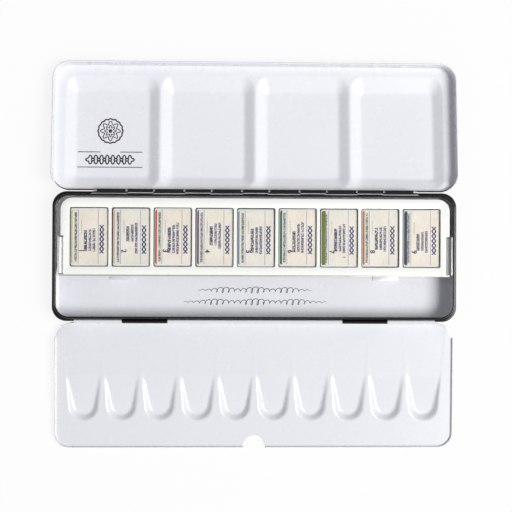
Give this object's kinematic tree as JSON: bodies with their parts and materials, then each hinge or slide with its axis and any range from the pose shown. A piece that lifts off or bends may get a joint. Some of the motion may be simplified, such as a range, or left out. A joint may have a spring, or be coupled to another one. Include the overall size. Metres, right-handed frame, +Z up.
{
  "type": "watercolour paint set",
  "caption": "Folding metal watercolour tin, laid open: hinged lid with mixing wells, hinged mixing flap with thumb wells, and a lift-out holder of wrapped full pans beside a brush compartment.",
  "frame": {"origin": "centre of the tray's flat underside", "axes": "+X along the tin's length, +Y towards the lid hinge at the rear, +Z up"},
  "size_m": [0.2128, 0.2033, 0.0146],
  "materials": {
    "enamelled_tin": "stoved enamel, black outside and white inside",
    "white_enamel": "gloss white stoved enamel",
    "ivory_enamel": "gloss ivory white enamel",
    "steel_wire": "drawn wire",
    "cup_plastic": "moulded",
    "wrapping_paper": "thin coated paper, printed",
    "paint_1": "dry watercolour",
    "paint_2": "dry watercolour",
    "paint_3": "dry watercolour",
    "paint_4": "dry watercolour",
    "paint_5": "dry watercolour",
    "paint_6": "dry watercolour",
    "paint_7": "dry watercolour",
    "paint_8": "dry watercolour",
    "paint_9": "dry watercolour"
  },
  "bodies": {
    "tray_body": {"base_tray": "enamelled_tin", "lid_hinge_pin": "steel_wire", "flap_hinge_pin": "steel_wire"},
    "lid_body": {"lid": "enamelled_tin"},
    "flap_body": {"mixing_flap": "white_enamel"},
    "holder_body": {"pan_holder": "ivory_enamel"},
    "pan_body_1": {"pan_1": "cup_plastic", "paint_1": "paint_1", "wrapper_1": "wrapping_paper"},
    "pan_body_2": {"pan_2": "cup_plastic", "paint_2": "paint_2", "wrapper_2": "wrapping_paper"},
    "pan_body_3": {"pan_3": "cup_plastic", "paint_3": "paint_3", "wrapper_3": "wrapping_paper"},
    "pan_body_4": {"pan_4": "cup_plastic", "paint_4": "paint_4", "wrapper_4": "wrapping_paper"},
    "pan_body_5": {"pan_5": "cup_plastic", "paint_5": "paint_5", "wrapper_5": "wrapping_paper"},
    "pan_body_6": {"pan_6": "cup_plastic", "paint_6": "paint_6", "wrapper_6": "wrapping_paper"},
    "pan_body_7": {"pan_7": "cup_plastic", "paint_7": "paint_7", "wrapper_7": "wrapping_paper"},
    "pan_body_8": {"pan_8": "cup_plastic", "paint_8": "paint_8", "wrapper_8": "wrapping_paper"},
    "pan_body_9": {"pan_9": "cup_plastic", "paint_9": "paint_9", "wrapper_9": "wrapping_paper"}
  },
  "joints": [
    {"name": "lid_hinge", "type": "hinge", "parent": "tray_body", "child": "lid_body", "pos_m": [0, 0.0341, 0.0127], "axis": [-1, 0, 0], "range_deg": [-185.89, 0]},
    {"name": "flap_hinge", "type": "hinge", "parent": "tray_body", "child": "flap_body", "pos_m": [0, -0.034, 0.009], "axis": [1, 0, 0], "range_deg": [-182.15, 0]},
    {"name": "holder_lift", "type": "slide", "parent": "tray_body", "child": "holder_body", "axis": [0, 0, 1], "range_m": [0, 0.03]},
    {"name": "pan_lift_1", "type": "slide", "parent": "holder_body", "child": "pan_body_1", "axis": [0, 0, 1], "range_m": [0, 0.025]},
    {"name": "pan_lift_2", "type": "slide", "parent": "holder_body", "child": "pan_body_2", "axis": [0, 0, 1], "range_m": [0, 0.025]},
    {"name": "pan_lift_3", "type": "slide", "parent": "holder_body", "child": "pan_body_3", "axis": [0, 0, 1], "range_m": [0, 0.025]},
    {"name": "pan_lift_4", "type": "slide", "parent": "holder_body", "child": "pan_body_4", "axis": [0, 0, 1], "range_m": [0, 0.025]},
    {"name": "pan_lift_5", "type": "slide", "parent": "holder_body", "child": "pan_body_5", "axis": [0, 0, 1], "range_m": [0, 0.025]},
    {"name": "pan_lift_6", "type": "slide", "parent": "holder_body", "child": "pan_body_6", "axis": [0, 0, 1], "range_m": [0, 0.025]},
    {"name": "pan_lift_7", "type": "slide", "parent": "holder_body", "child": "pan_body_7", "axis": [0, 0, 1], "range_m": [0, 0.025]},
    {"name": "pan_lift_8", "type": "slide", "parent": "holder_body", "child": "pan_body_8", "axis": [0, 0, 1], "range_m": [0, 0.025]},
    {"name": "pan_lift_9", "type": "slide", "parent": "holder_body", "child": "pan_body_9", "axis": [0, 0, 1], "range_m": [0, 0.025]}
  ]
}
